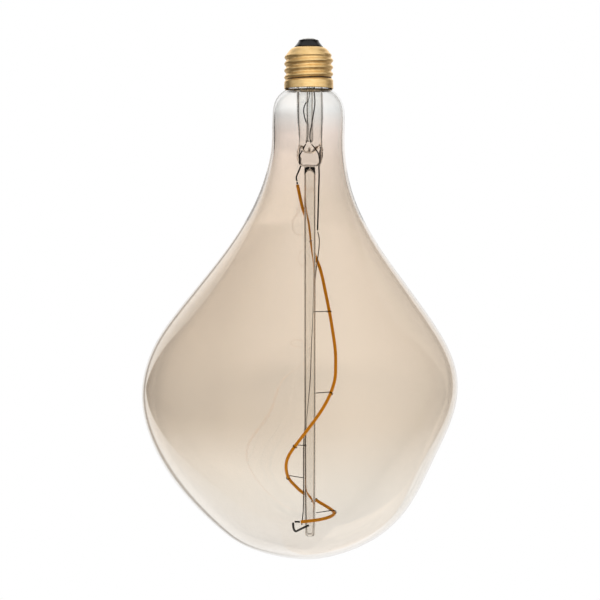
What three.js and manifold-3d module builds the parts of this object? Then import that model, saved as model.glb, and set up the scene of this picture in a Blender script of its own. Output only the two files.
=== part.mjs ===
// A smart LED filament bulb: an E27 screw cap with a wireless driver inside it, and a large drop-shaped,
// hand-blown looking glass envelope around one long flexible LED filament wound on a glass tube.
//
// Frame: millimetres, +Z up, cap on top. The origin is the centre of the centre contact's flat face, where
// the cap seats in its lampholder, and the bulb hangs below it. -Y is the front. Pieces that are fused,
// soldered or pressed together on the real bulb keep a small gap here.

import * as THREE from "three";
import { mergeVertices } from "three/addons/utils/BufferGeometryUtils.js";
import Module from "manifold-3d";

const wasm = await Module();
wasm.setup();

// ---------------------------------------------------------------- driving dimensions

const gap = 0.3;

// E27 screw cap
const threadPitch = 3.63;
const crestRadius = 13.07;
const rootRadius = 12.03;
const threadCrestZ = -13.6; // height of one crest on the -X side
const threadTopZ = -9.0;
const threadBottomZ = -22.3;
const sheetThickness = 0.35;
const rimZ = -26.9;
const insulatorTopZ = -0.85;

// glass envelope
const neckRadius = 11.3;
const neckTopZ = -18.5;
const wall = 1.0;

// glass stem, and the tube that carries the filament
const flareTubeRadius = 7.1;
const stemWall = 0.95;
const pressBottomZ = -68.6;
const exhaustX = 0.5;
const exhaustRadius = 1.9;
const tubeX = 0.6;
const tubeRadius = 3.15;
const tubeWall = 0.75;
const tubeBottomZ = -265.5;

// wires and filament
const leadRadius = 0.3;
const stiffLeadRadius = 0.4;
const returnRadius = 0.25;
const endLeadRadius = 0.46;
const filamentRadius = 0.8;
const hookRadius = 0.18;

// driver inside the cap
const boardTopZ = -15;
const boardThickness = 1;
const boardRadius = 9.6;

// ---------------------------------------------------------------- materials

function material(color, roughness, metalness, extra = {}) {
  return new THREE.MeshStandardMaterial({ color, roughness, metalness, ...extra });
}

const clear = { transparent: true, opacity: 0.35 };
const brass = material(0xc79a4b, 0.3, 1);
const black = material(0x0b0b0c, 0.2, 0);
const amberGlass = material(0xdcc6ac, 0.03, 0, clear);
const clearGlass = material(0xeef0ee, 0.03, 0, clear);
const cement = material(0xb9b2a4, 0.9, 0);
const darkSteel = material(0x2a2622, 0.45, 1);
const nickel = material(0x8d8780, 0.35, 1);
const copper = material(0xa86a48, 0.4, 1);
const phosphor = material(0xc07a1c, 0.5, 0);
const boardGreen = material(0x1f5a3a, 0.5, 0);
const chipBlack = material(0x151515, 0.55, 0);
const canAluminium = material(0xb9bcc0, 0.35, 1);
const ferrite = material(0x3a3532, 0.7, 0);
const varistorBlue = material(0x27569a, 0.45, 0);
const resistorBody = material(0x6f8f78, 0.5, 0);
const sleeveWhite = material(0xe6e2d8, 0.7, 0);

// ---------------------------------------------------------------- helpers

const bulb = new THREE.Group();

function add(name, geometry, finish) {
  const mesh = new THREE.Mesh(geometry, finish);
  mesh.name = name;
  bulb.add(mesh);
  return mesh;
}

const vector = ([x, y, z]) => new THREE.Vector3(x, y, z);

// Joins rings of points into one closed skin. Each ring runs counter-clockwise seen from above, and the
// rings run down the outside of the piece. A hollow piece starts at the bottom of its hollow, climbs its
// inside and comes down its outside. The ends close onto two points, or the last ring joins the first.
function skin(rings, ends) {
  const sides = rings[0].length;
  const points = rings.flat();
  const faces = [];
  const spans = ends ? rings.length - 1 : rings.length;
  for (let i = 0; i < spans; i++) {
    const here = i * sides;
    const next = ((i + 1) % rings.length) * sides;
    for (let k = 0; k < sides; k++) {
      const turn = (k + 1) % sides;
      faces.push(here + k, next + turn, here + turn, here + k, next + k, next + turn);
    }
  }
  if (ends) {
    const first = points.push(...ends) - 2;
    const lastRing = (rings.length - 1) * sides;
    for (let k = 0; k < sides; k++) {
      const turn = (k + 1) % sides;
      faces.push(first, k, turn, first + 1, lastRing + turn, lastRing + k);
    }
  }
  return new THREE.BufferGeometry().setFromPoints(points).setIndex(faces);
}

// A level ring round [x, 0] with half widths a along X and b along Y. A power over 2 makes it squarer than
// an ellipse.
function ring(a, b, z, sides, power = 2, x = 0) {
  const bend = (value) => Math.sign(value) * Math.abs(value) ** (2 / power);
  return Array.from({ length: sides }, (_, k) => {
    const angle = (2 * Math.PI * k) / sides;
    return new THREE.Vector3(x + a * bend(Math.cos(angle)), b * bend(Math.sin(angle)), z);
  });
}

// A turned piece from [radius, z] corners that run up its outside, closing on the axis or on themselves.
function turned(corners, sides = 24) {
  const outline = corners.map(([r, z]) => new THREE.Vector2(r, z));
  return new THREE.LatheGeometry(outline, sides).rotateX(Math.PI / 2);
}

// A plain tube or ring standing on Z, from its inner and outer radius and its two heights.
function sleeve(inner, outer, bottom, top, sides) {
  const corners = [[inner, bottom], [outer, bottom], [outer, top], [inner, top], [inner, bottom]];
  return turned(corners, sides);
}

function routeOf(points) {
  return new THREE.CatmullRomCurve3(points.map(vector));
}

// A round wire along a route.
function wire(route, radius, steps, sides = 6) {
  const section = new THREE.Shape(
    Array.from({ length: sides }, (_, k) => {
      const angle = (2 * Math.PI * k) / sides;
      return new THREE.Vector2(radius * Math.cos(angle), radius * Math.sin(angle));
    }),
  );
  return new THREE.ExtrudeGeometry(section, { steps, extrudePath: route, bevelEnabled: false });
}

// A closed geometry as a manifold-3d solid, for cutting.
function solidOf(geometry) {
  const bare = geometry.clone();
  bare.deleteAttribute("normal");
  bare.deleteAttribute("uv");
  const merged = mergeVertices(bare);
  return new wasm.Manifold(
    new wasm.Mesh({
      numProp: 3,
      vertProperties: merged.attributes.position.array,
      triVerts: new Uint32Array(merged.index.array),
    }),
  );
}

function cut(body, ...tools) {
  const made = tools.reduce((left, tool) => left.subtract(solidOf(tool)), solidOf(body)).getMesh();
  return new THREE.BufferGeometry()
    .setAttribute("position", new THREE.BufferAttribute(made.vertProperties, 3))
    .setIndex(new THREE.BufferAttribute(made.triVerts, 1));
}

// The point at position u, from 0 to 1, on a uniform cubic B-spline through rows of equal length.
function splineRow(rows, u) {
  const spans = rows.length - 3;
  const span = THREE.MathUtils.clamp(Math.floor(u * spans), 0, spans - 1);
  const t = u * spans - span;
  const weights = [(1 - t) ** 3, 3 * t ** 3 - 6 * t ** 2 + 4, -3 * t ** 3 + 3 * t ** 2 + 3 * t + 1, t ** 3];
  return rows[0].map((_, column) =>
    weights.reduce((sum, weight, i) => sum + (weight / 6) * rows[span + i][column], 0),
  );
}

// ---------------------------------------------------------------- screw cap

// Mean radius of the rolled sheet at height z: a round shoulder, the threaded barrel, then the plain skirt.
const shellOutline = new THREE.SplineCurve(
  [
    [7.3, -4.9], [8.4, -5.05], [9.5, -5.7], [10.4, -6.6], [11.15, -7.6], [11.9, -8.5], [12.4, -9.6],
    [12.55, -11.4], [12.55, -14], [12.55, -17], [12.55, -20], [12.6, -22], [13.0, -23.1], [13.07, -24.2],
    [13.07, rimZ],
  ].map(([r, z]) => new THREE.Vector2(r, z)),
);

// The rounded rope thread: a right-hand helix that runs out at both ends of the barrel.
function threadRise(angle, z) {
  const depth = (crestRadius - rootRadius) / 2;
  const ends = THREE.MathUtils.smoothstep(z, threadBottomZ - 1, threadBottomZ + 0.5)
    * (1 - THREE.MathUtils.smoothstep(z, threadTopZ - 1.4, threadTopZ + 1.2));
  const turns = (z - threadCrestZ) / threadPitch - (angle - Math.PI) / (2 * Math.PI);
  return depth * ends * Math.cos(2 * Math.PI * turns);
}

function screwShell(sides = 24, levels = 31) {
  const ringAt = (share, inset) => {
    const at = shellOutline.getPointAt(share);
    const along = shellOutline.getTangentAt(share);
    return Array.from({ length: sides }, (_, k) => {
      const angle = (2 * Math.PI * k) / sides;
      const radius = at.x + threadRise(angle, at.y) + inset * along.y;
      return new THREE.Vector3(radius * Math.cos(angle), radius * Math.sin(angle), at.y - inset * along.x);
    });
  };
  const shares = Array.from({ length: levels }, (_, i) => i / (levels - 1));
  const outside = shares.map((share) => ringAt(share, 0));
  const inside = shares.map((share) => ringAt(share, sheetThickness)).reverse();
  return skin([...inside, ...outside]);
}

add("screw_shell", screwShell(), brass);

const contactHeadRadius = 4.3;
const contactFaceRadius = 2.8;
const contactHeadBottomZ = -1.7;
const contactShankRadius = 1.2;
const contactShankEndZ = -8.2;

add(
  "centre_contact",
  turned([
    [0, contactShankEndZ], [contactShankRadius, contactShankEndZ], [contactShankRadius, contactHeadBottomZ],
    [contactHeadRadius, contactHeadBottomZ], [contactHeadRadius, -0.8], [3.8, -0.3],
    [contactFaceRadius, 0], [0, 0],
  ]),
  nickel,
);

add(
  "cap_insulator",
  turned([
    [contactShankRadius + gap, -7.5], [8.2, -7.5], [8.4, -6.7], [6.9, -5.8], [6.9, -4.9], [7.8, -4.6],
    [7.0, -3.6], [5.6, -1.9], [5.5, -1.3], [5.2, insulatorTopZ - 0.1], [4.9, insulatorTopZ],
    [contactHeadRadius + 0.25, insulatorTopZ], [contactHeadRadius + 0.25, contactHeadBottomZ - gap],
    [contactShankRadius + gap, contactHeadBottomZ - gap], [contactShankRadius + gap, -7.5],
  ], 28),
  black,
);

add("basing_cement", sleeve(neckRadius + gap, 12.4, -25.3, -23.5, 24), cement);

// ---------------------------------------------------------------- glass envelope

// Stations down the envelope: height, then how far the glass stands out to the right, left, front and
// back, then the size of the three-lobed swell. They steer a B-spline, which passes close inside them.
const stations = [
  [-15.0, neckRadius, neckRadius, neckRadius, neckRadius, 0],
  [neckTopZ, neckRadius, neckRadius, neckRadius, neckRadius, 0],
  [-22.0, neckRadius, neckRadius, neckRadius, neckRadius, 0],
  [-24.8, 11.3, 11.3, 11.3, 11.3, 0],
  [-26.9, 11.2, 11.2, 11.2, 11.2, 0],
  [-27.9, 13.4, 13.5, 13.4, 13.4, 0],
  [-31.0, 16.3, 16.9, 16.6, 16.6, 0],
  [-35.5, 18.9, 19.1, 19.0, 19.0, 0],
  [-43.0, 19.5, 19.5, 19.5, 19.5, 0],
  [-52.0, 19.0, 19.6, 19.3, 19.2, 0],
  [-60.0, 19.1, 19.8, 19.6, 19.4, 0],
  [-72.0, 20.5, 22.6, 21.8, 21.3, 0],
  [-85.0, 23.8, 27.0, 25.9, 25.1, -0.3],
  [-98.0, 29.4, 33.7, 31.7, 31.1, -0.8],
  [-112.0, 37.3, 42.7, 39.7, 39.4, -1.6],
  [-127.0, 48.0, 54.4, 49.0, 50.2, -2.6],
  [-142.0, 58.6, 66.4, 59.0, 61.2, -3.6],
  [-158.0, 69.7, 78.7, 69.3, 71.9, -4.4],
  [-174.0, 77.2, 85.7, 77.4, 78.4, -4.4],
  [-190.0, 78.7, 88.6, 82.5, 80.0, -3.0],
  [-206.0, 75.0, 86.8, 82.5, 76.8, -0.4],
  [-222.0, 67.9, 81.0, 78.2, 70.5, 2.4],
  [-237.0, 60.9, 71.6, 69.8, 62.7, 3.6],
  [-251.0, 53.4, 59.2, 58.5, 53.5, 2.6],
  [-263.2, 41.8, 45.8, 44.6, 41.8, 1.0],
  [-272.0, 25.8, 32.9, 29.7, 27.3, 0.2],
  [-276.8, 9.4, 11.6, 10.8, 10.0, 0],
];

// The outline runs on through the lowest point and up the other side, so that the glass is round there.
const lowest = stations.at(-1);
const beyond = lowest.map((value, column) => (column === 0 ? value : -value));
const polarRows = [...stations, [-277.8, 0, 0, 0, 0, 0], beyond];

function envelopePoint(share, angle) {
  const [z, right, left, front, back, swell] = splineRow(polarRows, share);
  const across = ((right + left) / 2) * Math.cos(angle) ** 2 + ((right - left) / 2) * Math.cos(angle);
  const deep = ((back + front) / 2) * Math.sin(angle) ** 2 + ((back - front) / 2) * Math.sin(angle);
  const radius = across + deep + swell * Math.sin(3 * angle);
  return new THREE.Vector3(radius * Math.cos(angle), radius * Math.sin(angle), z);
}

function envelopeInside(share, angle) {
  const step = 1e-3;
  const at = envelopePoint(share, angle);
  const around = envelopePoint(share, angle + step).sub(envelopePoint(share, angle - step));
  const down = envelopePoint(share + step, angle).sub(envelopePoint(share - step, angle));
  const inward = around.cross(down).normalize();
  if (share < step) inward.z = 0; // the neck's end is cut square
  return at.addScaledVector(inward, wall);
}

function envelope(sides = 32, levels = 34) {
  const angles = Array.from({ length: sides }, (_, k) => (2 * Math.PI * k) / sides);
  const shares = Array.from({ length: levels }, (_, i) => (i + 1e-6) / levels);
  const outside = shares.map((share) => angles.map((angle) => envelopePoint(share, angle)));
  const inside = shares.map((share) => angles.map((angle) => envelopeInside(share, angle))).reverse();
  const pole = envelopePoint(1, 0);
  return skin([...inside, ...outside], [pole.clone().setZ(pole.z + wall), pole]);
}

add("glass_envelope", envelope(), amberGlass);

// ---------------------------------------------------------------- lead-in wires

const leadRoutes = {
  // copper, from the driver down through the flare
  outer_lead_left: [
    [-2.4, 2.2, -16.3], [-1.4, 3.0, -20], [0.3, 3.2, -25.6], [0.1, 3.0, -31], [-2.5, 1.8, -36.3],
    [-2.8, 1.9, -39], [-2.0, 2.4, -43.4], [-0.3, 2.9, -47.8], [-0.3, 3.0, -50], [-0.9, 2.8, -53.5],
    [-1.2, 2.4, -56.2],
  ],
  outer_lead_right: [
    [4.8, -1.6, -16.3], [4.2, -1.6, -20], [2.7, -2.0, -26.5], [3.3, -1.9, -34.5], [2.5, -2.2, -40.5],
    [1.4, -2.8, -47.2], [0.5, -3.1, -53], [1.2, -2.6, -56.3],
  ],
  // the lengths that the glass press seals
  seal_lead_left: [[-1.4, 2.1, -56.8], [-3.0, 1.2, -60], [-4.3, 0.5, -63], [-4.0, 0.3, -67]],
  seal_lead_right: [[1.5, -2.4, -56.9], [3.9, -1.4, -60], [5.3, -0.8, -63.5], [5.3, -0.6, -66.9]],
  // stiff dark wire inside the bulb
  inner_lead_left: [
    [-4.1, 0.3, -67.7], [-4.6, 0.4, -69], [-5.6, 0.6, -71.2], [-6.5, 0.8, -73.2], [-6.7, 0.9, -74.4],
    [-6.3, 1.0, -75.9],
  ],
  inner_lead_right: [
    [5.35, -0.6, -67.5], [5.6, -0.6, -69.2], [5.3, -0.3, -81], [5.0, 0.1, -92], [4.7, 0.4, -102.6],
  ],
};

const leadSteps = {
  outer_lead_left: 24,
  outer_lead_right: 14,
  seal_lead_left: 6,
  seal_lead_right: 6,
  inner_lead_left: 10,
  inner_lead_right: 8,
};

const leadKinds = {
  outer: { radius: leadRadius, finish: copper },
  seal: { radius: leadRadius, finish: copper },
  inner: { radius: stiffLeadRadius, finish: darkSteel },
};

for (const [name, points] of Object.entries(leadRoutes)) {
  const { radius, finish } = leadKinds[name.split("_")[0]];
  add(name, wire(routeOf(points), radius, leadSteps[name]), finish);
}

// The thin wire that brings the far end of the filament back: it hugs the tube's right side, crosses
// behind it and runs down its left side.
const returnRoute = [
  [4.8, 0.5, -103.3], [5.7, 0.8, -106.5], [5.6, 1.0, -111], [4.9, 1.6, -116.5], [3.9, 2.3, -124],
  [3.3, 2.7, -132], [3.0, 3.0, -142], [2.6, 3.2, -150], [1.9, 3.6, -160], [1.3, 3.8, -173], [0.8, 3.8, -183],
  [-0.1, 3.8, -191], [-1.2, 3.4, -199], [-2.2, 2.7, -208], [-2.7, 2.1, -216], [-2.8, 1.9, -228],
  [-2.8, 1.9, -243], [-2.9, 1.7, -252], [-3.4, 0.6, -256.5], [-3.7, -0.8, -259.4],
];
add("return_lead", wire(routeOf(returnRoute), returnRadius, 44, 5), nickel);

// The stout bent wire at the bottom that holds the end of the filament.
const endLeadRoute = [
  [-8.3, -12.5, -256.9], [-8.2, -12.5, -258.4], [-8.0, -12.3, -260], [-7.1, -11.6, -261.4],
  [-4.9, -9.2, -260.8], [-2.5, -6.2, -260], [-0.2, -4.4, -259.2],
];
add("end_lead", wire(routeOf(endLeadRoute), endLeadRadius, 18, 8), darkSteel);

// ---------------------------------------------------------------- glass stem

// The flared tube sealed into the neck, whose lower end is pressed flat around the lead-in wires.
function stem(sides = 20) {
  const bore = flareTubeRadius - stemWall;
  const flangeRadius = neckRadius - wall - gap;
  // half widths along X and Y, height, and how far the middle leans to +X
  const inside = [
    [1.3, 0.8, -58.7, 0.7], [2.9, 1.5, -60.2, 0.7], [4.0, 2.2, -59.6, 0.7], [4.7, 3.1, -57.4, 0.8],
    [5.0, 4.4, -54.5, 0.9], [5.5, 5.3, -51, 0.9], [bore, bore, -44, 0.8], [bore, bore, -30, 0.6],
    [6.2, 6.2, -25, 0.3], [6.6, 6.6, -22.4, 0], [7.8, 7.8, -20.2, 0], [9.2, 9.2, -18.9, 0],
  ];
  const outside = [
    [flangeRadius, flangeRadius, -19.2, 0], [8.7, 8.7, -20.8, 0], [7.5, 7.5, -22.9, 0.1],
    [flareTubeRadius, flareTubeRadius, -25.5, 0.3], [flareTubeRadius, flareTubeRadius, -42, 0.7],
    [6.6, 6.5, -48.7, 0.9], [6.15, 5.9, -53, 1.1], [6.25, 5.3, -56.2, 1.0], [6.5, 4.7, -58, 0.95],
    [6.9, 4.4, -60, 0.7], [7.05, 4.2, -62.3, 0.55], [6.65, 4.0, -64.8, 0.6], [5.7, 3.6, -66.7, 0.6],
    [4.4, 3.0, -67.9, 0.65], [3.2, 2.2, pressBottomZ, 0.7],
  ];
  const rings = [...inside, ...outside].map(([a, b, z, x]) => ring(a, b, z, sides, z < -57 ? 2.6 : 2, x));
  const body = skin(rings, [vector([0.7, 0, -57.6]), vector([0.7, 0, pressBottomZ])]);
  const channels = ["seal_lead_left", "seal_lead_right"].map((name) => {
    const points = leadRoutes[name];
    const past = points.at(-1).map((value, i) => value + (value - points.at(-2)[i]) * 0.4);
    return wire(routeOf([...points, past]), stiffLeadRadius + gap, 8);
  });
  return cut(body, ...channels);
}

add("glass_stem", stem(), clearGlass);

// The thin tube that the bulb was pumped and filled through, melted shut at its top.
const exhaustTube = add(
  "exhaust_tube",
  turned([
    [0, -18.7], [0, -20.0], [0.8, -20.6], [1.15, -21.6], [1.15, -55.4], [exhaustRadius, -55.4],
    [exhaustRadius, -20.4], [1.3, -19.2], [0, -18.7],
  ], 14),
  clearGlass,
);
exhaustTube.position.x = exhaustX;

// The long tube that the filament winds round, open at the press and melted shut at the bottom.
function supportTube(sides = 20) {
  const inner = tubeRadius - tubeWall;
  const rings = [
    [1.4, tubeBottomZ + 1.3], [inner, tubeBottomZ + 2.4], [inner, pressBottomZ - gap],
    [tubeRadius, pressBottomZ - gap], [tubeRadius, tubeBottomZ + 1.6], [2.5, tubeBottomZ + 0.4],
    [1.2, tubeBottomZ],
  ].map(([r, z]) => ring(r, r, z, sides));
  return skin(rings, [vector([0, 0, tubeBottomZ + 1.1]), vector([0, 0, tubeBottomZ])]);
}

const longTube = add("support_tube", supportTube(), clearGlass);
longTube.position.x = tubeX;

// ---------------------------------------------------------------- filament and its hooks

// The filament starts left of the press, passes behind the tube, swings out to the right, crosses in
// front, and closes into a tighter turn at the bottom.
const filamentRoute = [
  [-6.0, 1.4, -77.9], [-4.5, 4.2, -84.8], [-3.0, 6.4, -90.6], [-0.6, 8.4, -97.6], [1.3, 9.8, -107.2],
  [3.4, 10.8, -115.8], [6.2, 11.2, -123.0], [8.9, 11.0, -134.8], [11.2, 9.5, -146.4], [12.8, 7.0, -156.0],
  [14.2, 3.5, -167.0], [14.3, 0.5, -175.6], [13.7, -2.5, -182.4], [10.5, -7.6, -191.2], [5.2, -12.0, -200.0],
  [-0.9, -13.8, -208.2], [-7.2, -12.0, -216.6], [-10.9, -8.6, -222.6], [-12.1, -3.6, -228.6],
  [-10.8, 3.0, -234.8], [-7.8, 7.5, -238.9], [-4.3, 10.6, -242.5], [0.0, 12.6, -245.4], [3.8, 12.9, -247.5],
  [7.3, 11.6, -249.4], [11.0, 8.0, -251.3], [13.5, 1.8, -253.0], [11.8, -5.2, -254.3], [6.8, -10.2, -255.3],
  [0.8, -13.0, -255.9], [-4.3, -13.4, -256.4],
];
const filamentCurve = routeOf(filamentRoute);
add("led_filament", wire(filamentCurve, filamentRadius, 72, 6), phosphor);

// Flat metal tabs that crimp the ends of the filament to their wires.
add("filament_terminal_top", wire(routeOf([[-6.25, 1.1, -76.4], [-6.1, 1.3, -77.5]]), 0.4, 1, 8), nickel);
add(
  "filament_terminal_end",
  wire(routeOf([[-4.75, -13.35, -256.42], [-6.2, -13.0, -256.35], [-7.4, -12.7, -256.4]]), 0.45, 3, 8),
  nickel,
);

// Each hook leaves the tube level with its point on the filament, runs tangent to a loop and goes most
// of the way round the filament.
const hookHeights = [-108.2, -146.0, -189.1, -216.9, -234.6, -247.6, -253.0];
const loopRadius = filamentRadius + gap + hookRadius;
const loopSweep = (4 * Math.PI) / 3;
const loopPoints = 8;

function filamentShareAt(height) {
  let low = 0;
  let high = 1;
  while (high - low > 1e-5) {
    const middle = (low + high) / 2;
    if (filamentCurve.getPoint(middle).z > height) low = middle;
    else high = middle;
  }
  return low;
}

function hookRoute(height) {
  const share = filamentShareAt(height);
  const centre = filamentCurve.getPoint(share);
  const along = filamentCurve.getTangent(share);
  const middle = new THREE.Vector3(tubeX, 0, centre.z);
  const root = centre.clone().sub(middle).setLength(tubeRadius + gap).add(middle);
  const out = centre.clone().sub(root);
  out.addScaledVector(along, -out.dot(along));
  const reach = out.length();
  out.normalize();
  const side = along.clone().cross(out);
  const touch = Math.acos(loopRadius / reach);
  const loop = Array.from({ length: loopPoints }, (_, k) => {
    const angle = touch + (loopSweep * k) / (loopPoints - 1);
    return centre
      .clone()
      .addScaledVector(out, -loopRadius * Math.cos(angle))
      .addScaledVector(side, loopRadius * Math.sin(angle));
  });
  return new THREE.CatmullRomCurve3([root, root.clone().lerp(loop[0], 0.5), ...loop]);
}

hookHeights.forEach((height, i) => {
  add(`filament_hook_${i + 1}`, wire(hookRoute(height), hookRadius, 16, 4), nickel);
});

// ---------------------------------------------------------------- driver in the cap

const onBoard = boardTopZ + gap;

function block(name, [width, depth, height], [x, y, z], finish) {
  const piece = add(name, new THREE.BoxGeometry(width, depth, height), finish);
  piece.position.set(x, y, z);
  return piece;
}

add("driver_sleeve", sleeve(10.6, 11.1, -17.6, -9.9, 24), sleeveWhite);
add("driver_board", turned([
  [0, boardTopZ - boardThickness], [boardRadius, boardTopZ - boardThickness],
  [boardRadius, boardTopZ], [0, boardTopZ],
], 28), boardGreen);

const canTopZ = onBoard + 5.4;
const canMiddle = [-4.6, -3.4];
const smoothingCan = add("smoothing_capacitor", turned([
  [0, onBoard], [2.9, onBoard], [3.15, onBoard + 0.4], [3.15, onBoard + 0.9], [2.95, onBoard + 1.2],
  [3.15, onBoard + 1.5], [3.15, canTopZ - 0.3], [2.85, canTopZ], [0, canTopZ],
], 20), canAluminium);
smoothingCan.position.set(...canMiddle, 0);

const filterCoil = add("filter_inductor", turned([
  [0, onBoard], [2.6, onBoard], [2.6, onBoard + 0.7], [1.9, onBoard + 0.9], [1.9, onBoard + 3.7],
  [2.6, onBoard + 3.9], [2.6, onBoard + 4.6], [0, onBoard + 4.6],
], 18), ferrite);
filterCoil.position.set(4.9, -3.9, 0);

const varistor = add(
  "surge_varistor",
  new THREE.CylinderGeometry(2.4, 2.4, 1.5, 18).rotateZ(Math.PI / 2),
  varistorBlue,
);
varistor.position.set(-7.4, 3.2, onBoard + 2.7);

const fuse = add(
  "fusible_resistor",
  new THREE.CapsuleGeometry(0.9, 3.4, 3, 12).rotateZ(Math.PI / 2),
  resistorBody,
);
fuse.position.set(-2.6, 4.3, onBoard + 1.1);

block("bridge_rectifier", [4.7, 3.9, 1.6], [4.9, 3.4, onBoard + 0.8], chipBlack);
block("driver_chip", [4.9, 3.9, 1.2], [0, -3.6, boardTopZ - boardThickness - gap - 0.6], chipBlack);
block("wireless_board", [10, 0.8, 5.4], [0, 7.6, onBoard + 2.7], boardGreen);
block("wireless_chip", [3.6, 0.8, 3.6], [-1.6, 6.5, onBoard + 3.1], chipBlack);

// Wires from the board to the centre contact and to the screw shell.
const liveRoute = [
  [0, 0, contactShankEndZ - gap], [0.5, -0.4, -10], [1.2, -0.8, -12.4], [1.4, -0.9, onBoard],
];
const neutralRoute = [
  [8.5, 0.4, onBoard], [8.5, 0.4, -10.6], [8.8, 0.4, -9.3], [9.6, 0.4, -8.8], [10.2, 0.4, -8.7],
];
add("live_lead", wire(routeOf(liveRoute), leadRadius, 8), copper);
add("neutral_lead", wire(routeOf(neutralRoute), leadRadius, 10), copper);

export default bulb;
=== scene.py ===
"""The looks of a large amber LED filament bulb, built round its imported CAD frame.

Metres, +Z up. The bulb hangs cap-up, with the origin on its centre contact and its front towards -Y.
"""

import math

import bmesh
import bpy
import numpy as np
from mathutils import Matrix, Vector


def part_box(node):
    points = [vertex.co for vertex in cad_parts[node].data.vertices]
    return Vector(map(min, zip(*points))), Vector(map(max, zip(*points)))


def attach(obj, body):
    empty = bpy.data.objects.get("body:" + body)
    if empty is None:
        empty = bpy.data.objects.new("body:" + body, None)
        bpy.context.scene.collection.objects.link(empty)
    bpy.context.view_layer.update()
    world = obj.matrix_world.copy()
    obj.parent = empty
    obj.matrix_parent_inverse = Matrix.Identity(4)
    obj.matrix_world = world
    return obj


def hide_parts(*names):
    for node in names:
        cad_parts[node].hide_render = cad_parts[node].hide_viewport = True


MM = 0.001

# Thickness of the glass and of the brass sheet, in millimetres
WALL = 1.0
NECK_WALL = 1.7
SHEET = 0.35

# Share of the extra thickness of the neck's wall, at depths below the origin in millimetres
NECK_WALL_DEPTHS = (30, 40, 50, 60, 70, 98)
NECK_WALL_SHARES = (0, 0.25, 0.75, 1, 1, 0)

# Sides of the CAD's rings, and the finer grids as (rings, sides)
CAD_ENVELOPE_SIDES = 32
CAD_SHELL_SIDES = 24
ENVELOPE_GRID = (200, 144)
SHELL_GRID = (170, 96)
HOLLOW_GRID = (70, 72)
FLARE_GRID = (130, 72)
CEMENT_SIDES = 96
SUBDIVISIONS = 2
CREASE = 0.8

# Points of the CAD at most this far apart are one point, or lie at one height, in metres
SAME_PLACE = 2e-6

# Rings carried over the pole of the envelope, and how far short of it the last ring stays, in ring gaps
RINGS_OVER_POLE = 6
SHORT_OF_POLE = 0.06

# Filament: a flat strip in a round coat, and the route of its middle, in millimetres
COAT_RADIUS = 0.86
COAT_SIDES = 16
STRIP_HALF_WIDTH = 0.42
STRIP_HALF_THICKNESS = 0.16
STRIP_SIDES = 8
FILAMENT_ROUTE = [
    (-6.0, 1.4, -77.9), (-4.5, 4.2, -84.8), (-3.0, 6.4, -90.6), (-0.6, 8.4, -97.6), (1.3, 9.8, -107.2),
    (3.4, 10.8, -115.8), (6.2, 11.2, -123.0), (8.9, 11.0, -134.8), (11.2, 9.5, -146.4), (12.8, 7.0, -156.0),
    (14.2, 3.5, -167.0), (14.3, 0.5, -175.6), (13.7, -2.5, -182.4), (10.5, -7.6, -191.2),
    (5.2, -12.0, -200.0), (-0.9, -13.8, -208.2), (-7.2, -12.0, -216.6), (-10.9, -8.6, -222.6),
    (-12.1, -3.6, -228.6), (-10.8, 3.0, -234.8), (-7.8, 7.5, -238.9), (-4.3, 10.6, -242.5),
    (0.0, 12.6, -245.4), (3.8, 12.9, -247.5), (7.3, 11.6, -249.4), (11.0, 8.0, -251.3), (13.5, 1.8, -253.0),
    (11.8, -5.2, -254.3), (6.8, -10.2, -255.3), (0.8, -13.0, -255.9), (-4.3, -13.4, -256.4),
]
FILAMENT_STEPS = 420
SAMPLES_PER_POINT = 40

# The stem: half widths along X and Y, height, squareness, and how far its middle leans to +X
FLARE_INSIDE = [
    (0.6, 0.4, -59.0, 2, 0.4), (1.2, 0.8, -60.9, 2, 0.4), (1.9, 1.1, -61.6, 2, 0.4),
    (2.8, 1.5, -60.9, 2, 0.45), (4.0, 2.2, -59.4, 2, 0.55), (5.1, 3.0, -57.7, 2, 0.7),
    (5.5, 4.0, -55.4, 2, 0.85), (5.6, 5.1, -51.6, 2, 0.9), (6.0, 6.0, -47.5, 2, 0.85),
    (6.15, 6.15, -44, 2, 0.8), (6.15, 6.15, -37, 2, 0.7), (6.15, 6.15, -30, 2, 0.6), (6.2, 6.2, -25, 2, 0.3),
    (6.6, 6.6, -22.4, 2, 0), (7.8, 7.8, -20.2, 2, 0), (9.2, 9.2, -18.9, 2, 0),
]
FLARE_OUTSIDE = [
    (10.0, 10.0, -19.2, 2, 0), (8.7, 8.7, -20.8, 2, 0), (7.5, 7.5, -22.9, 2, 0.1), (7.1, 7.1, -25.5, 2, 0.3),
    (7.1, 7.1, -31, 2, 0.5), (7.1, 7.1, -37, 2, 0.65), (7.05, 7.05, -42, 2, 0.7), (6.7, 6.5, -48.7, 2, 0.85),
    (6.3, 5.9, -53, 2, 1.0), (6.3, 5.1, -56.2, 2.1, 1.0), (6.5, 4.5, -58, 2.2, 0.95),
    (6.9, 4.2, -60, 2.3, 0.7), (7.05, 4.1, -62.3, 2.3, 0.55), (6.75, 4.0, -64.8, 2.4, 0.6),
    (6.0, 3.8, -66.9, 2.6, 0.6), (5.2, 3.3, -68.1, 2.6, 0.65), (3.2, 2.2, -68.6, 2.4, 0.7),
]
HOLLOW_END = (0.4, 0, -58.6)
PRESS_END = (0.7, 0, -68.8)

# The waves in the press: the height they start at and fade over, in metres, and their depth in millimetres
PRESS_TOP = -0.055
PRESS_FADE = 0.004
PRESS_RIPPLE = 0.16
# Each wave: turns round the stem, rate along it per metre, phase, and share
PRESS_WAVES = [(5, 900, 0, 1.0), (3, -1500, 1, 0.7), (0, 2100, math.pi / 2, 0.5)]

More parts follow.
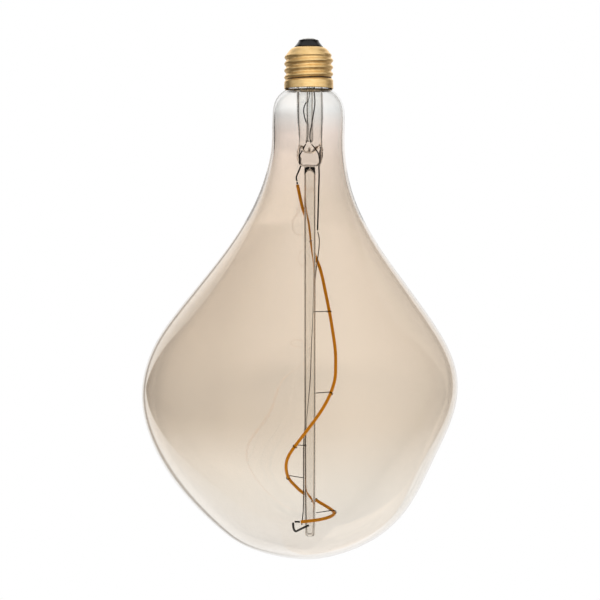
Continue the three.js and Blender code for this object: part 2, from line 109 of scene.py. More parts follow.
# Cement ring between the glass and the cap: radius and height, in millimetres
CEMENT_RING = [
    (11.6, -21.0), (12.2, -21.0), (12.3, -22.6), (12.58, -24.0), (12.62, -26.95), (12.3, -27.0),
    (11.8, -26.7), (11.6, -26.0),
]

# Camera: level, at the height of the bulb's middle, in millimetres
CAMERA = (-4.65, -1200.0, -139.5)
LENS = 135.0

# Floor, in metres
FLOOR_Z = -1.1
FLOOR_SIDES = 96
FLOOR_RINGS = [(0.9, FLOOR_Z), (2.4, FLOOR_Z), (3.0, FLOOR_Z), (3.02, FLOOR_Z - 0.02)]

# Lamps for the cap: name, place, size and watts, in metres
SOFTBOXES = [
    ("front_softbox", (0.1, -1.25, 0.6), (2.2, 1.3), 15),
    ("low_softbox", (0.0, -1.3, -0.6), (2.4, 1.0), 9),
    ("top_softbox", (0.0, 0.0, 1.3), (1.6, 1.6), 9),
    ("left_softbox", (-1.4, -0.6, 0.3), (1.5, 1.4), 5),
    ("right_softbox", (1.4, -0.6, 0.3), (1.5, 1.4), 7),
    ("back_softbox", (0.0, 1.3, 0.6), (2.4, 1.3), 9),
]
SOFTBOX_AIM = (0, 0, -0.03)

# Glass surfaces on a line straight through the envelope
ENVELOPE_CROSSINGS = 4

# What the glass mirrors, as stops of (direction, brightness). ACROSS runs from the left (-1) to the right
# of the studio, TOWARD from the camera's side (-1) to the middle of the backdrop (1), whose edges fade into
# the room, and DOWN is the light from below (-1), which is added to the room.
ROOM_ACROSS = [(-1.0, 0.0), (-0.6, 0.06), (-0.2, 0.42), (0.3, 0.85), (0.6, 1.05), (1.0, 1.0)]
ROOM_TOWARD = [(-1.0, 0.1), (-0.85, 0.4), (-0.5, 1.0), (0.05, 0.9), (0.55, 0.5), (0.83, 0.35)]
ROOM_DOWN = [(-1.0, 1.0), (-0.5, 0.75), (-0.15, 0.1), (0.0, 0.0)]
ROOM_COLOR = (0.92, 0.84, 0.76, 1)
BACKDROP = [(0.84, 0.0), (0.86, 0.92), (1.0, 0.92)]
EDGE_CARD = [(0.86, 1.0), (0.885, 0.4), (0.92, 0.4), (0.945, 1.0)]

# On the left the backdrop reaches further round above and below the bulb, on the right a little further
REACH_LEFT = 0.6
REACH_RIGHT = 0.05
SIDE_STEEPNESS = 4.0

# Share of the mirrored studio that the glass wall nearest the camera shows, as stops along TOWARD: little,
# so that it doesn't veil what is inside
FRONT_WALL = [(-1.0, 0.01), (0.2, 0.02), (0.6, 0.6), (0.8, 1.0)]

# The backdrop seen straight through the envelope: brightness from left to right, how far that holds from
# below to above, and the even brightness beyond it
BACKDROP_ACROSS = [(-0.07, 0.80), (-0.044, 0.80), (-0.018, 0.90), (0.0, 1.0), (0.027, 1.12), (0.07, 1.06)]
BACKDROP_MIDDLE = [(-0.1, 0.0), (-0.085, 0.0), (-0.055, 1.0), (0.03, 1.0), (0.07, 0.0), (0.1, 0.0)]
BACKDROP_ENDS = 1.05

# What the stem and the tubes show: light straight through them, with dark cards round that. Light that they
# bend to the left or down meets wider cards.
CARDS_BENT = [(0.6, 0.9), (0.8, 0.9), (0.84, 0.1), (0.9, 0.1), (0.93, 1.0)]
CARDS_BENT_DARK = [(0.66, 0.9), (0.74, 0.05), (0.89, 0.05), (0.93, 1.0)]
CARDS_MIRRORED = [(0.6, 1.0), (0.74, 0.2), (0.9, 0.2), (0.94, 1.0)]


# ---------------------------------------------------------------- meshes


def new_object(name, points, faces, material, slot, *nodes):
    """A smooth-shaded piece from points in metres. It stands for the CAD nodes named."""
    mesh = bpy.data.meshes.new(name)
    mesh.from_pydata([tuple(p) for p in points], [], faces)
    mesh.update()
    mesh.polygons.foreach_set("use_smooth", [True] * len(mesh.polygons))
    mesh.materials.append(material)
    obj = bpy.data.objects.new(name, mesh)
    bpy.context.scene.collection.objects.link(obj)
    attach(obj, "root")
    if nodes:
        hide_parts(*nodes)


def skin(rings, ends=None):
    """Points and faces over rings that run bottom to top up a hollow, then down the outside.
    The two ends close onto points. Without them the last ring joins the first."""
    count, sides = rings.shape[:2]
    points = [tuple(p) for p in rings.reshape(-1, 3)]
    faces = []
    for i in range(count - 1 if ends else count):
        here, following = i * sides, ((i + 1) % count) * sides
        for k in range(sides):
            turn = (k + 1) % sides
            faces.append((here + k, following + k, following + turn, here + turn))
    if ends:
        points += [tuple(e) for e in ends]
        first, last = len(points) - 2, len(points) - 1
        base = (count - 1) * sides
        for k in range(sides):
            turn = (k + 1) % sides
            faces.append((first, k, turn))
            faces.append((last, base + turn, base + k))
    return points, faces


def spline(rows, at):
    """A natural cubic spline through rows of values at 0, 1, 2 ..., read at the positions given."""
    rows = np.asarray(rows, float)
    flat = rows.reshape(len(rows), -1)
    count = len(flat)
    system = np.eye(count)
    right = np.zeros_like(flat)
    for i in range(1, count - 1):
        system[i, i - 1 : i + 2] = 1, 4, 1
        right[i] = 6 * (flat[i - 1] - 2 * flat[i] + flat[i + 1])
    bend = np.linalg.solve(system, right)
    at = np.asarray(at, float)
    span = np.clip(at.astype(int), 0, count - 2)
    t = (at - span)[:, None]
    a, b, ma, mb = flat[span], flat[span + 1], bend[span], bend[span + 1]
    value = (1 - t) * a + t * b + ((1 - t) ** 3 - (1 - t)) / 6 * ma + (t**3 - t) / 6 * mb
    return value.reshape((len(at),) + rows.shape[1:])


def outer_rings(node, sides):
    """The level rings of a CAD node's outside, top first: their heights, and the radii in each ring
    at equal steps of angle from +X."""
    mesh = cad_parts[node].data
    outside = set()
    for face in mesh.polygons:
        away = Vector((face.center.x, face.center.y, 0)).normalized()
        if face.normal.dot(away) > 0.02:
            outside.update(tuple(round(c, 7) for c in mesh.vertices[v].co) for v in face.vertices)
    heights, radii, level = [], [], []
    for point in sorted(outside, key=lambda p: -p[2]):
        if level and level[0][2] - point[2] > SAME_PLACE:
            level = []
        level.append(point)
        if len(level) == sides:
            ordered = sorted(level, key=lambda p: math.atan2(p[1], p[0]) % (2 * math.pi - 1e-4))
            heights.append(point[2])
            radii.append([math.hypot(p[0], p[1]) for p in ordered])
    return np.array(heights), np.array(radii)


def smooth_rings(heights, radii, rows, sides, pole=None, harmonics=4):
    """The same surface on a finer grid: a few harmonics round each ring, and splines down the rings.
    With a pole the surface runs on through it, so that it is round there."""
    waves = np.fft.rfft(radii, axis=1)[:, : harmonics + 1] / radii.shape[1]
    table = np.column_stack([heights, waves.real, waves.imag])
    last = len(table) - 1
    if pole is not None:
        mirrored = table[::-1][:RINGS_OVER_POLE].copy()
        mirrored[:, 1:] *= -1
        middle = np.zeros((1, table.shape[1]))
        middle[0, 0] = pole
        table = np.vstack([table, middle, mirrored])
        last += 1 - SHORT_OF_POLE
    values = spline(table, np.linspace(0, last, rows))
    angle = np.linspace(0, 2 * np.pi, sides, endpoint=False)
    real, imaginary = values[:, 1 : harmonics + 2], values[:, harmonics + 2 :]
    radius = np.repeat(real[:, :1], sides, axis=1)
    for n in range(1, harmonics + 1):
        radius += 2 * (real[:, n : n + 1] * np.cos(n * angle) - imaginary[:, n : n + 1] * np.sin(n * angle))
    x, y = radius * np.cos(angle), radius * np.sin(angle)
    z = np.repeat(values[:, :1], sides, axis=1)
    return np.stack([x, y, z], axis=2)


def level_ring(radius, z, sides):
    """A circle of points round the vertical axis."""
    angle = np.linspace(0, 2 * np.pi, sides, endpoint=False)
    return np.column_stack([radius * np.cos(angle), radius * np.sin(angle), np.full(sides, z)])


def inset(rings, thickness):
    """The rings moved inwards through a wall, with one thickness or one for each ring."""
    around = np.roll(rings, -1, axis=1) - np.roll(rings, 1, axis=1)
    down = np.gradient(rings, axis=0)
    inward = np.cross(around, down)
    inward /= np.linalg.norm(inward, axis=2, keepdims=True)
    inward[0, :, 2] = 0
    return rings + np.reshape(thickness, (-1, 1, 1)) * inward


def loft(sections, rows, sides):
    """Rings through sections of (half width in X, half width in Y, height, squareness, middle in X),
    in millimetres."""
    values = spline(sections, np.linspace(0, len(sections) - 1, rows))
    angle = np.linspace(0, 2 * np.pi, sides, endpoint=False)
    rings = []
    for a, b, z, power, middle in values:
        x = middle + a * np.sign(np.cos(angle)) * np.abs(np.cos(angle)) ** (2 / power)
        y = b * np.sign(np.sin(angle)) * np.abs(np.sin(angle)) ** (2 / power)
        rings.append(np.column_stack([x, y, np.full(sides, z)]))
    return np.array(rings) * MM


def frames_along(route, count):
    """Points at equal steps of length along a route, with two directions square to it at each: one away
    from the bulb's axis and one square to that."""
    at = np.linspace(0, len(route) - 1, SAMPLES_PER_POINT * len(route))
    dense = spline(np.array(route, float) * MM, at)
    length = np.concatenate([[0], np.cumsum(np.linalg.norm(np.diff(dense, axis=0), axis=1))])
    steps = np.linspace(0, length[-1], count)
    middle = np.column_stack([np.interp(steps, length, dense[:, i]) for i in range(3)])
    along = np.gradient(middle, axis=0)
    along /= np.linalg.norm(along, axis=1, keepdims=True)
    outward = middle * (1, 1, 0)
    side = outward - along * np.sum(outward * along, axis=1, keepdims=True)
    side /= np.linalg.norm(side, axis=1, keepdims=True)
    return middle, side, np.cross(along, side)


def tube_along(route, count, section):
    """Rings of a section along a route, and the two end points. The section is a list of offsets in
    millimetres along the two square directions."""
    middle, side, up = frames_along(route, count)
    rings = np.array([middle + (s * side + u * up) * MM for s, u in section]).transpose(1, 0, 2)
    return rings, (middle[0], middle[-1])


def oval(half_width, half_thickness, sides):
    """The section of an oval wire, for tube_along."""
    return [
        (half_width * math.cos(2 * math.pi * k / sides), half_thickness * math.sin(2 * math.pi * k / sides))
        for k in range(sides)
    ]


def refined(node, material, swell=0.0, sharp=35):
    """A rounder copy of a CAD node: quads, creased where the CAD turns by more than the sharp angle in
    degrees, then subdivided. Swell, in millimetres, gives a thin wire back the thickness that subdividing
    takes off."""
    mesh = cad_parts[node].data.copy()
    mesh.name = node + "_fine"
    work = bmesh.new()
    work.from_mesh(mesh)
    bmesh.ops.remove_doubles(work, verts=work.verts, dist=SAME_PLACE)
    bmesh.ops.join_triangles(
        work, faces=work.faces, angle_face_threshold=math.radians(20), angle_shape_threshold=math.radians(60)
    )
    crease = work.edges.layers.float.new("crease_edge")
    for edge in work.edges:
        if len(edge.link_faces) == 2 and edge.calc_face_angle(0) > math.radians(sharp):
            edge[crease] = CREASE
    for face in work.faces:
        face.smooth = True
    work.to_mesh(mesh)
    work.free()
    mesh.materials.clear()
    mesh.materials.append(material)
    obj = bpy.data.objects.new(node + "_fine", mesh)
    bpy.context.scene.collection.objects.link(obj)
    smooth = obj.modifiers.new("smooth", "SUBSURF")
    smooth.levels = smooth.render_levels = SUBDIVISIONS
    if swell:
        fatten = obj.modifiers.new("fatten", "DISPLACE")
        fatten.mid_level = 0
        fatten.strength = swell * MM
    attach(obj, "root")
    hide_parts(node)


# ---------------------------------------------------------------- materials


class Nodes:
    """A material's node tree, with short calls for the nodes used here."""

    def __init__(self, name):
        self.material = bpy.data.materials.new(name)
        self.material.use_nodes = True
        self.tree = self.material.node_tree
        self.shader = self.tree.nodes["Principled BSDF"]
        self.place = self.tree.nodes.new("ShaderNodeTexCoord").outputs["Object"]

    def set(self, **values):
        for name, value in values.items():
            self.shader.inputs[name.replace("_", " ")].default_value = value
        return self

    def link(self, output, name):
        self.tree.links.new(output, self.shader.inputs[name])

    def noise(self, scale, detail=4, stretch=(1, 1, 1)):
        mapping = self.tree.nodes.new("ShaderNodeMapping")
        mapping.inputs["Scale"].default_value = stretch
        texture = self.tree.nodes.new("ShaderNodeTexNoise")
        texture.inputs["Scale"].default_value = scale
        texture.inputs["Detail"].default_value = detail
        self.tree.links.new(self.place, mapping.inputs["Vector"])
        self.tree.links.new(mapping.outputs["Vector"], texture.inputs["Vector"])
        return texture.outputs["Fac"]

    def height(self, top, bottom):
        """0 at the top height and 1 at the bottom one, in metres."""
        split = self.tree.nodes.new("ShaderNodeSeparateXYZ")
        span = self.tree.nodes.new("ShaderNodeMapRange")
        span.inputs["From Min"].default_value = top
        span.inputs["From Max"].default_value = bottom
        self.tree.links.new(self.place, split.inputs[0])
        self.tree.links.new(split.outputs["Z"], span.inputs["Value"])
        return span.outputs["Result"]

    def ramp(self, source, stops):
        ramp = self.tree.nodes.new("ShaderNodeValToRGB")
        elements = ramp.color_ramp.elements
        while len(elements) < len(stops):
            elements.new(0.5)
        for element, (position, color) in zip(elements, stops):
            element.position = position
            element.color = (*color, 1)
        self.tree.links.new(source, ramp.inputs["Fac"])
        return ramp.outputs["Color"]

    def grey(self, source, low, high):
        """A number from low to high that follows the source."""
        span = self.tree.nodes.new("ShaderNodeMapRange")
        span.inputs["To Min"].default_value = low
        span.inputs["To Max"].default_value = high
        self.tree.links.new(source, span.inputs["Value"])
        return span.outputs["Result"]

    def bump(self, source, depth):
        """A relief that follows the source, with its depth in millimetres."""
        bump = self.tree.nodes.new("ShaderNodeBump")
        bump.inputs["Strength"].default_value = 1.0
        bump.inputs["Distance"].default_value = depth * MM
        self.tree.links.new(source, bump.inputs["Height"])
        self.link(bump.outputs["Normal"], "Normal")


def srgb(red, green, blue):
    """Linear colour from 0-255 display values."""
    return tuple(
        c / 12.92 if c <= 0.04045 else ((c + 0.055) / 1.055) ** 2.4
        for c in (red / 255, green / 255, blue / 255)
    )


def glass(name, stops, top, bottom, ior, wave=0.0):
    """Glass tinted by height, from the top to the bottom given in metres, with slow waves in its surface."""
    made = Nodes(name).set(Roughness=0.0, IOR=ior, Transmission_Weight=1.0)
    made.link(made.ramp(made.height(top, bottom), stops), "Base Color")
    if wave:
        made.bump(made.noise(9, 1), wave)
    return made.material


def metal(name, dark, light, rough, grain, stretch=(1, 1, 1), depth=0.01):
    """Metal with a grain in its colour, its roughness and its relief."""
    made = Nodes(name).set(Metallic=1.0)
    texture = made.noise(grain, 5, stretch)
    made.link(made.ramp(texture, [(0.3, dark), (0.7, light)]), "Base Color")
    made.link(made.grey(texture, rough * 0.7, rough * 1.4), "Roughness")
    made.bump(texture, depth)
    return made.material


def plain(name, dark, light, rough, grain, depth=0.02, **more):
    """Paint, plastic or ceramic with a grain. More names other sockets of the shader."""
    made = Nodes(name).set(**more)
    texture = made.noise(grain)
    made.link(made.ramp(texture, [(0.3, dark), (0.7, light)]), "Base Color")
    made.link(made.grey(texture, rough * 0.8, rough * 1.2), "Roughness")
    made.bump(texture, depth)
    return made.material


# Tints of the glass, from its top (0) to its bottom (1)
AMBER_STOPS = [
    (0.00, (1.000, 1.000, 0.995)),
    (0.07, (1.000, 1.000, 0.990)),
    (0.12, (1.000, 0.930, 0.880)),
    (0.17, (0.960, 0.880, 0.810)),
    (0.25, (0.905, 0.830, 0.750)),
    (0.40, (0.920, 0.845, 0.760)),
    (0.72, (0.935, 0.860, 0.770)),
    (0.86, (0.985, 0.945, 0.885)),
    (1.00, (0.990, 0.960, 0.920)),
]
CLEAR_STOPS = [(0, (0.985, 0.990, 0.985)), (1, (0.985, 0.980, 0.970))]

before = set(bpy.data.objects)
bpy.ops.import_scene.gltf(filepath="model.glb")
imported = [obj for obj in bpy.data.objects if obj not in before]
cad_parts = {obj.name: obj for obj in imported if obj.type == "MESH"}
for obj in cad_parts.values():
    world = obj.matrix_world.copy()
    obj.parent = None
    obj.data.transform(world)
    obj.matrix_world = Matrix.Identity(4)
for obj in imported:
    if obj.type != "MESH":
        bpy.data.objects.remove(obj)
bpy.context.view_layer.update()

amber_glass = glass("amber_glass", AMBER_STOPS, -0.02, -0.278, ior=1.7, wave=0.02)
clear_glass = glass("clear_glass", CLEAR_STOPS, -0.02, -0.27, ior=1.45)
brass = metal("cap_brass", srgb(226, 188, 124), srgb(244, 212, 154), 0.44, 300, (1, 1, 3), depth=0.006)
tin = metal("contact_tin", srgb(176, 174, 170), srgb(222, 220, 216), 0.35, 500)
dark_steel = metal("dark_wire", srgb(20, 17, 15), srgb(44, 38, 34), 0.45, 1500, (1, 1, 0.1))
oxide = plain("black_oxide", srgb(4, 4, 4), srgb(10, 9, 8), 0.8, 1500, 0.01, Specular_IOR_Level=0.0)
bright_wire = metal("bright_wire", srgb(92, 84, 78), srgb(150, 142, 134), 0.3, 1500, (1, 1, 0.1))
copper = metal("copper_wire", srgb(110, 72, 52), srgb(180, 130, 98), 0.35, 1200, (1, 1, 0.2))
cement = plain("cement", srgb(58, 42, 24), srgb(88, 66, 40), 0.9, 400, 0.05)
insulator_black = plain(
    "black_insulator", srgb(5, 5, 6), srgb(12, 12, 13), 0.3, 250, 0.004, Specular_IOR_Level=0.25)

phosphor = Nodes("phosphor_coat").set(Roughness=0.4, IOR=1.41, Specular_IOR_Level=0.3)
grains = phosphor.noise(2500, 3)
phosphor.link(phosphor.ramp(grains, [(0.3, srgb(252, 152, 10)), (0.7, srgb(255, 176, 30))]), "Base Color")
phosphor.bump(grains, 0.02)
phosphor_coat = phosphor.material
strip_core = plain("filament_strip", srgb(150, 84, 14), srgb(176, 104, 22), 0.5, 1800)


# ---------------------------------------------------------------- the object


def envelope():
    """The glass envelope: the CAD's outside, and a wall that is thicker in the lower neck."""
    heights, radii = outer_rings("glass_envelope", CAD_ENVELOPE_SIDES)
    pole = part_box("glass_envelope")[0].z
    outside = smooth_rings(heights, radii, *ENVELOPE_GRID, pole)
    levels = outside[:, :, 2].mean(axis=1) / MM
    wall = WALL + (NECK_WALL - WALL) * np.interp(-levels, NECK_WALL_DEPTHS, NECK_WALL_SHARES)
    inside = inset(outside, wall * MM)[::-1]
    axis = outside[-1].mean(axis=0)
    tip = Vector((axis[0], axis[1], pole))
    points, faces = skin(np.concatenate([inside, outside]), (tip + Vector((0, 0, WALL * MM)), tip))
    new_object("envelope_glass", points, faces, amber_glass, "amber_glass", "glass_envelope")


def screw_cap():
    """The rolled brass sheet of the cap."""
    heights, radii = outer_rings("screw_shell", CAD_SHELL_SIDES)
    outside = smooth_rings(heights, radii, *SHELL_GRID, harmonics=1)
    inside = inset(outside, SHEET * MM)[::-1]
    points, faces = skin(np.concatenate([inside, outside]))
    new_object("screw_cap", points, faces, brass, "cap_brass", "screw_shell")


def rippled(rings):
    """The rings with the waves that the pressing leaves in the soft glass, in the press only."""
    angle = np.linspace(0, 2 * np.pi, rings.shape[1], endpoint=False)
    height = rings[:, :, 2]
    fade = np.clip((PRESS_TOP - height) / PRESS_FADE, 0, 1)
    wave = sum(
        share * np.sin(turns * angle + rate * height + phase) for turns, rate, phase, share in PRESS_WAVES
    )
    away = np.stack([np.cos(angle), np.sin(angle), 0 * angle], axis=1)
    return rings + (PRESS_RIPPLE * MM / 2) * (fade * wave)[:, :, None] * away


def stem():
    """The flared tube, and the press that seals it round the wires."""
    inside = rippled(loft(FLARE_INSIDE, *HOLLOW_GRID))
    outside = rippled(loft(FLARE_OUTSIDE, *FLARE_GRID))
    ends = (Vector(HOLLOW_END) * MM, Vector(PRESS_END) * MM)
    points, faces = skin(np.concatenate([inside, outside]), ends)
    new_object("stem_glass", points, faces, clear_glass, "clear_glass", "glass_stem")


def cement_ring():
    """The cement between the glass and the cap, which shows as a dark band under the rim."""
    rings = np.array([level_ring(radius, z, CEMENT_SIDES) for radius, z in reversed(CEMENT_RING)])
    points, faces = skin(rings * MM)
    new_object("cement_ring", points, faces, cement, "cement", "basing_cement")


def tubes():
    """The exhaust tube in the flare, and the long tube that carries the filament."""
    refined("support_tube", clear_glass, sharp=60)
    refined("exhaust_tube", clear_glass, sharp=60)


def filament():
    """A round coat of phosphor, with the flat strip that carries the chips inside it."""
    rings, ends = tube_along(FILAMENT_ROUTE, FILAMENT_STEPS, oval(COAT_RADIUS, COAT_RADIUS, COAT_SIDES))
    points, faces = skin(rings, ends)
    new_object("filament_coat", points, faces, phosphor_coat, "phosphor_coat", "led_filament")

    strip = oval(STRIP_HALF_WIDTH, STRIP_HALF_THICKNESS, STRIP_SIDES)
    rings, ends = tube_along(FILAMENT_ROUTE, FILAMENT_STEPS, strip)
    points, faces = skin(rings, ends)
    new_object("filament_strip", points, faces, strip_core, "phosphor_coat")


envelope()
screw_cap()
cement_ring()
stem()
tubes()
filament()

refined("cap_insulator", insulator_black, sharp=32)
refined("centre_contact", tin, sharp=32)

for side in ("left", "right"):
    refined(f"outer_lead_{side}", dark_steel, swell=0.05)
    refined(f"seal_lead_{side}", dark_steel, swell=0.05)
    refined(f"inner_lead_{side}", dark_steel, swell=0.05)
refined("end_lead", oxide, swell=0.12)
refined("return_lead", bright_wire, swell=0.05)
for end in ("top", "end"):
    refined(f"filament_terminal_{end}", dark_steel, swell=0.04)
for number in range(1, 8):
    refined(f"filament_hook_{number}", dark_steel, swell=0.05, sharp=80)

# Materials of the CAD nodes inside the cap, which are carried over
INNER = {
    "driver_sleeve": plain("sleeve_plastic", srgb(214, 208, 196), srgb(232, 228, 220), 0.6, 200),
    "driver_board": plain("circuit_board", srgb(22, 76, 46), srgb(36, 104, 64), 0.45, 500),
    "smoothing_capacitor": metal("can_aluminium", srgb(168, 170, 174), srgb(206, 208, 212), 0.3, 400),
    "filter_inductor": plain("ferrite_core", srgb(48, 44, 42), srgb(74, 68, 64), 0.7, 700, 0.05),
    "surge_varistor": plain("varistor_coat", srgb(28, 76, 140), srgb(48, 104, 172), 0.35, 400),
    "fusible_resistor": plain("resistor_coat", srgb(92, 122, 102), srgb(124, 152, 132), 0.4, 400),
    "bridge_rectifier": plain("chip_black", srgb(16, 16, 17), srgb(34, 34, 36), 0.55, 900),
    "live_lead": copper,
    "neutral_lead": copper,
}
INNER["driver_chip"] = INNER["wireless_chip"] = INNER["bridge_rectifier"]
INNER["wireless_board"] = INNER["driver_board"]
for name, material in INNER.items():
    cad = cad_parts[name]
    cad.data.materials.clear()
    cad.data.materials.append(material)

# ---------------------------------------------------------------- studio


def floor():
    """A pale round floor well under the bulb, with a soft rolled edge."""
    rings = [level_ring(radius, z, FLOOR_SIDES) for radius, z in FLOOR_RINGS]
    points = [tuple(p) for ring in rings for p in ring] + [(0, 0, FLOOR_Z)]
    middle = len(points) - 1
    faces = [(middle, k, (k + 1) % FLOOR_SIDES) for k in range(FLOOR_SIDES)]
    for i in range(len(rings) - 1):
        here, beyond = FLOOR_SIDES * i, FLOOR_SIDES * (i + 1)
        for k in range(FLOOR_SIDES):
            turn = (k + 1) % FLOOR_SIDES
            faces.append((here + k, beyond + k, beyond + turn, here + turn))
    mesh = bpy.data.meshes.new("floor")
    mesh.from_pydata(points, [], faces)
    mesh.materials.append(plain("floor_paper", (0.93, 0.93, 0.93), (0.95, 0.95, 0.95), 0.9, 3, 0.1))
    obj = bpy.data.objects.new("floor", mesh)
    bpy.context.scene.collection.objects.link(obj)
    obj.visible_glossy = obj.visible_transmission = False


class RayMaths:
    """The direction and the kind of a ray that reaches the world, and short calls for the arithmetic in the
    world's node tree."""

    def __init__(self, tree):
        self.tree = tree
        split = tree.nodes.new("ShaderNodeSeparateXYZ")
        tree.links.new(tree.nodes.new("ShaderNodeTexCoord").outputs["Generated"], split.inputs[0])
        self.across, self.toward, self.up = split.outputs
        self.leftness = self.limited(self.do("MULTIPLY", self.across, -SIDE_STEEPNESS))
        self.rightness = self.limited(self.do("MULTIPLY", self.across, SIDE_STEEPNESS))
        self.downness = self.limited(self.do("MULTIPLY", self.up, -SIDE_STEEPNESS))
        path = tree.nodes.new("ShaderNodeLightPath")
        self.direct = path.outputs["Is Camera Ray"]
        self.lighting = self.do("GREATER_THAN", path.outputs["Diffuse Depth"], 0.5)
        self.mirrored = self.do("GREATER_THAN", path.outputs["Glossy Depth"], 0.5)
        self.crossings = path.outputs["Transmission Depth"]

    def do(self, operation, first, second=0.0, third=0.5):
        """One operation. The third number is how near COMPARE takes as equal."""
        node = self.tree.nodes.new("ShaderNodeMath")
        node.operation = operation
        for socket, value in zip(node.inputs, (first, second, third)):
            if isinstance(value, bpy.types.NodeSocket):
                self.tree.links.new(value, socket)
            else:
                socket.default_value = value
        return node.outputs[0]

    def limited(self, value):
        """The number kept between 0 and 1."""
        return self.do("MINIMUM", self.do("MAXIMUM", value, 0.0), 1.0)

    def blend(self, share, none, whole):
        """A number that goes from one to the other as the share goes from 0 to 1."""
        return self.do("ADD", self.do("MULTIPLY", share, whole),
                       self.do("MULTIPLY", self.do("SUBTRACT", 1.0, share), none))

    def curve(self, source, low, high, stops):
        """A number that follows stops of (where from low to high, value)."""
        span = self.tree.nodes.new("ShaderNodeMapRange")
        span.inputs["From Min"].default_value = low
        span.inputs["From Max"].default_value = high
        self.tree.links.new(source, span.inputs["Value"])
        ramp = self.tree.nodes.new("ShaderNodeValToRGB")
        elements = ramp.color_ramp.elements
        while len(elements) < len(stops):
            elements.new(0.5)
        for element, (where, value) in zip(elements, stops):
            element.position = (where - low) / (high - low)
            element.color = (value, value, value, 1)
        self.tree.links.new(span.outputs["Result"], ramp.inputs["Fac"])
        return ramp.outputs["Color"]


def backdrop_light(ray):
    """The backdrop with a dark card in its left part, the card alone, and how far the ray faces them."""
    reach = ray.do("MULTIPLY", ray.do("MULTIPLY", ray.do("ABSOLUTE", ray.up), REACH_LEFT), ray.leftness)
    reach = ray.do("ADD", reach, ray.do("MULTIPLY", ray.rightness, REACH_RIGHT))
    facing = ray.do("ADD", ray.toward, reach)
    card = ray.blend(ray.leftness, 1.0, ray.curve(ray.toward, 0.8, 1.0, EDGE_CARD))
    backdrop = ray.do("MULTIPLY", ray.curve(facing, 0.6, 1.0, BACKDROP), card)
    return backdrop, card, facing


def mirrored_light(ray, backdrop, card, facing):
    """What the glass mirrors: the room round the backdrop, and dark cards too in the pieces inside."""
    room = ray.curve(facing, -1, 1, ROOM_TOWARD)
    room = ray.do("MULTIPLY", ray.curve(ray.across, -1, 1, ROOM_ACROSS), room)
    room = ray.do("ADD", room, ray.curve(ray.up, -1, 1, ROOM_DOWN))
    seen = ray.do("MAXIMUM", ray.do("MULTIPLY", room, card), backdrop)
    seen_inside = ray.do("MULTIPLY", seen, ray.curve(ray.toward, 0.5, 1.0, CARDS_MIRRORED))
    inside = ray.do("GREATER_THAN", ray.crossings, ENVELOPE_CROSSINGS + 0.5)
    front_wall = ray.do("LESS_THAN", ray.crossings, ENVELOPE_CROSSINGS - 0.5)
    share = ray.blend(front_wall, 1.0, ray.curve(ray.toward, -1, 1, FRONT_WALL))
    return ray.do("MULTIPLY", ray.blend(inside, seen, seen_inside), share)


def bent_light(ray):
    """What the stem and the tubes bend."""
    darker = ray.do("MAXIMUM", ray.leftness, ray.downness)
    return ray.blend(
        darker, ray.curve(ray.toward, 0.2, 1.0, CARDS_BENT), ray.curve(ray.toward, 0.2, 1.0, CARDS_BENT_DARK))


def plain_light(ray):
    """1 for a ray that sees the white studio directly, straight through the envelope, or as the light on a
    plain surface, and how bright the studio is for it."""
    outside_glass = ray.do("MAXIMUM", ray.lighting, ray.direct)
    through_envelope = ray.do("COMPARE", ray.crossings, ENVELOPE_CROSSINGS)
    through_envelope = ray.do("MULTIPLY", through_envelope, ray.do("SUBTRACT", 1.0, ray.mirrored))
    side = ray.curve(ray.across, -0.07, 0.07, BACKDROP_ACROSS)
    side = ray.blend(ray.curve(ray.up, -0.1, 0.1, BACKDROP_MIDDLE), BACKDROP_ENDS, side)
    return ray.do("MAXIMUM", through_envelope, outside_glass), ray.blend(outside_glass, side, 1.0)


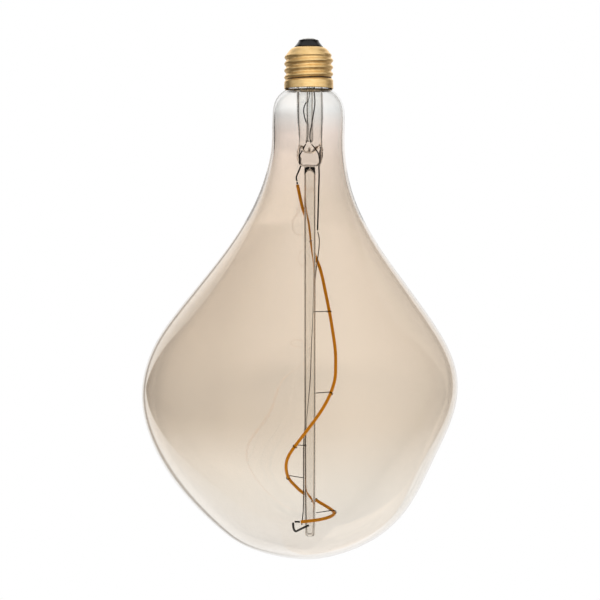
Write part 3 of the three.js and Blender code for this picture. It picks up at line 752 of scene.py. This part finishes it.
def studio_light():
    """A white world. Only what the glass mirrors, or what its inner pieces bend, sees the darker studio,
    and what is seen straight through the envelope has a backdrop that fades to the left."""
    world = bpy.data.worlds.new("studio")
    bpy.context.scene.world = world
    world.use_nodes = True
    tree = world.node_tree
    tree.nodes.clear()
    ray = RayMaths(tree)
    backdrop, card, facing = backdrop_light(ray)
    plainly, brightness = plain_light(ray)
    darker = ray.blend(ray.mirrored, bent_light(ray), mirrored_light(ray, backdrop, card, facing))

    # The darker studio is tinted, its backdrop is white
    tint = tree.nodes.new("ShaderNodeMix")
    tint.data_type = "RGBA"
    tint.inputs["A"].default_value = ROOM_COLOR
    tint.inputs["B"].default_value = (1, 1, 1, 1)
    tree.links.new(backdrop, tint.inputs["Factor"])
    room = tree.nodes.new("ShaderNodeBackground")
    tree.links.new(tint.outputs["Result"], room.inputs["Color"])
    tree.links.new(darker, room.inputs["Strength"])

    white = tree.nodes.new("ShaderNodeBackground")
    white.inputs["Color"].default_value = (1, 1, 1, 1)
    tree.links.new(brightness, white.inputs["Strength"])

    mix = tree.nodes.new("ShaderNodeMixShader")
    tree.links.new(plainly, mix.inputs["Fac"])
    tree.links.new(room.outputs[0], mix.inputs[1])
    tree.links.new(white.outputs[0], mix.inputs[2])
    output = tree.nodes.new("ShaderNodeOutputWorld")
    tree.links.new(mix.outputs[0], output.inputs["Surface"])


def softbox(name, place, size, watts, lit):
    """A soft lamp aimed at the cap, which lights only the pieces given."""
    lamp = bpy.data.lights.new(name, "AREA")
    lamp.shape = "RECTANGLE"
    lamp.size, lamp.size_y = size
    lamp.energy = watts
    obj = bpy.data.objects.new(name, lamp)
    obj.location = place
    aim = Vector(SOFTBOX_AIM) - Vector(place)
    obj.rotation_euler = aim.to_track_quat("-Z", "Y").to_euler()
    bpy.context.scene.collection.objects.link(obj)
    obj.light_linking.receiver_collection = lit


def camera():
    """A level camera that looks along +Y."""
    data = bpy.data.cameras.new("camera")
    data.lens = LENS
    data.clip_end = 50
    obj = bpy.data.objects.new("camera", data)
    obj.location = Vector(CAMERA) * MM
    obj.rotation_euler = (math.pi / 2, 0, 0)
    bpy.context.scene.collection.objects.link(obj)
    bpy.context.scene.camera = obj


floor()
studio_light()
cap_pieces = bpy.data.collections.new("cap_pieces")
for name in ("screw_cap", "cap_insulator_fine", "centre_contact_fine"):
    cap_pieces.objects.link(bpy.data.objects[name])
for name, place, size, watts in SOFTBOXES:
    softbox(name, place, size, watts, cap_pieces)
camera()

scene = bpy.context.scene
scene.view_settings.view_transform = "Standard"
scene.cycles.max_bounces = 24
scene.cycles.transmission_bounces = 24
scene.cycles.glossy_bounces = 8
